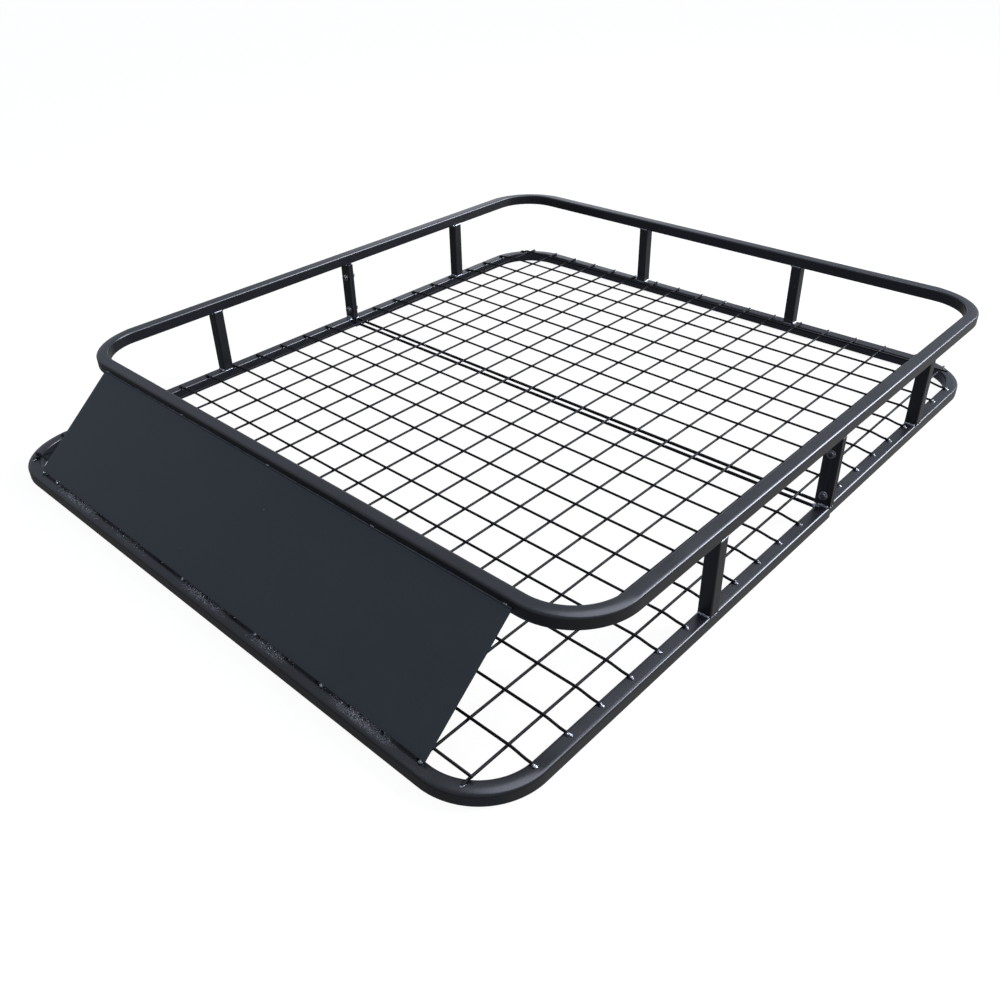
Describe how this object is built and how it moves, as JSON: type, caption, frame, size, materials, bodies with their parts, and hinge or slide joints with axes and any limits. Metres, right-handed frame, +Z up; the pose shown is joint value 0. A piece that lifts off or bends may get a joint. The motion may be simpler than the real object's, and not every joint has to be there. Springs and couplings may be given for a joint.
{
  "type": "roof cargo basket",
  "caption": "Open roof basket in two bolted halves: bent square-tube rails on short posts, a welded wire floor and a sloping sheet wind fairing at the front.",
  "frame": {"origin": "centre of the basket's underside, midway between its sides and between its front and rear rails", "axes": "+X to the basket's right side, +Y to its rear along its length, +Z up; the fairing is at -Y"},
  "size_m": [1.016, 1.219, 0.148],
  "materials": {
    "rail_coat": "black powder coat, satin, slightly blue-grey",
    "plate_coat": "black powder coat, satin",
    "wire_coat": "black powder coat, satin, thin at the crossings",
    "weld_coat": "lumpy weld under thin black powder coat",
    "fairing_coat": "smooth blue-grey black powder coat, low gloss",
    "fastener": "dark zinc plate"
  },
  "bodies": {
    "root": {"front_bottom_rail": "rail_coat", "rear_bottom_rail": "rail_coat", "front_top_rail": "rail_coat", "rear_top_rail": "rail_coat", "front_side_post_left": "rail_coat", "front_side_post_right": "rail_coat", "rear_side_post_left": "rail_coat", "rear_side_post_right": "rail_coat", "rear_post_left": "rail_coat", "rear_post_right": "rail_coat", "front_joint_plate_left": "plate_coat", "front_joint_plate_right": "plate_coat", "rear_joint_plate_left": "plate_coat", "rear_joint_plate_right": "plate_coat", "front_floor_bar": "wire_coat", "rear_floor_bar": "wire_coat", "front_long_wires": "wire_coat", "rear_long_wires": "wire_coat", "front_cross_wire_1": "wire_coat", "front_cross_wire_2": "wire_coat", "front_cross_wire_3": "wire_coat", "front_cross_wire_4": "wire_coat", "front_cross_wire_5": "wire_coat", "front_cross_wire_6": "wire_coat", "front_cross_wire_7": "wire_coat", "front_cross_wire_8": "wire_coat", "front_cross_wire_9": "wire_coat", "front_cross_wire_10": "wire_coat", "front_cross_wire_11": "wire_coat", "front_cross_wire_12": "wire_coat", "rear_cross_wire_1": "wire_coat", "rear_cross_wire_2": "wire_coat", "rear_cross_wire_3": "wire_coat", "rear_cross_wire_4": "wire_coat", "rear_cross_wire_5": "wire_coat", "rear_cross_wire_6": "wire_coat", "rear_cross_wire_7": "wire_coat", "rear_cross_wire_8": "wire_coat", "rear_cross_wire_9": "wire_coat", "front_wire_pads": "weld_coat", "rear_wire_pads": "weld_coat", "fairing": "fairing_coat", "joint_bolts": "fastener", "joint_washers": "fastener", "joint_nuts": "fastener"}
  },
  "joints": []
}
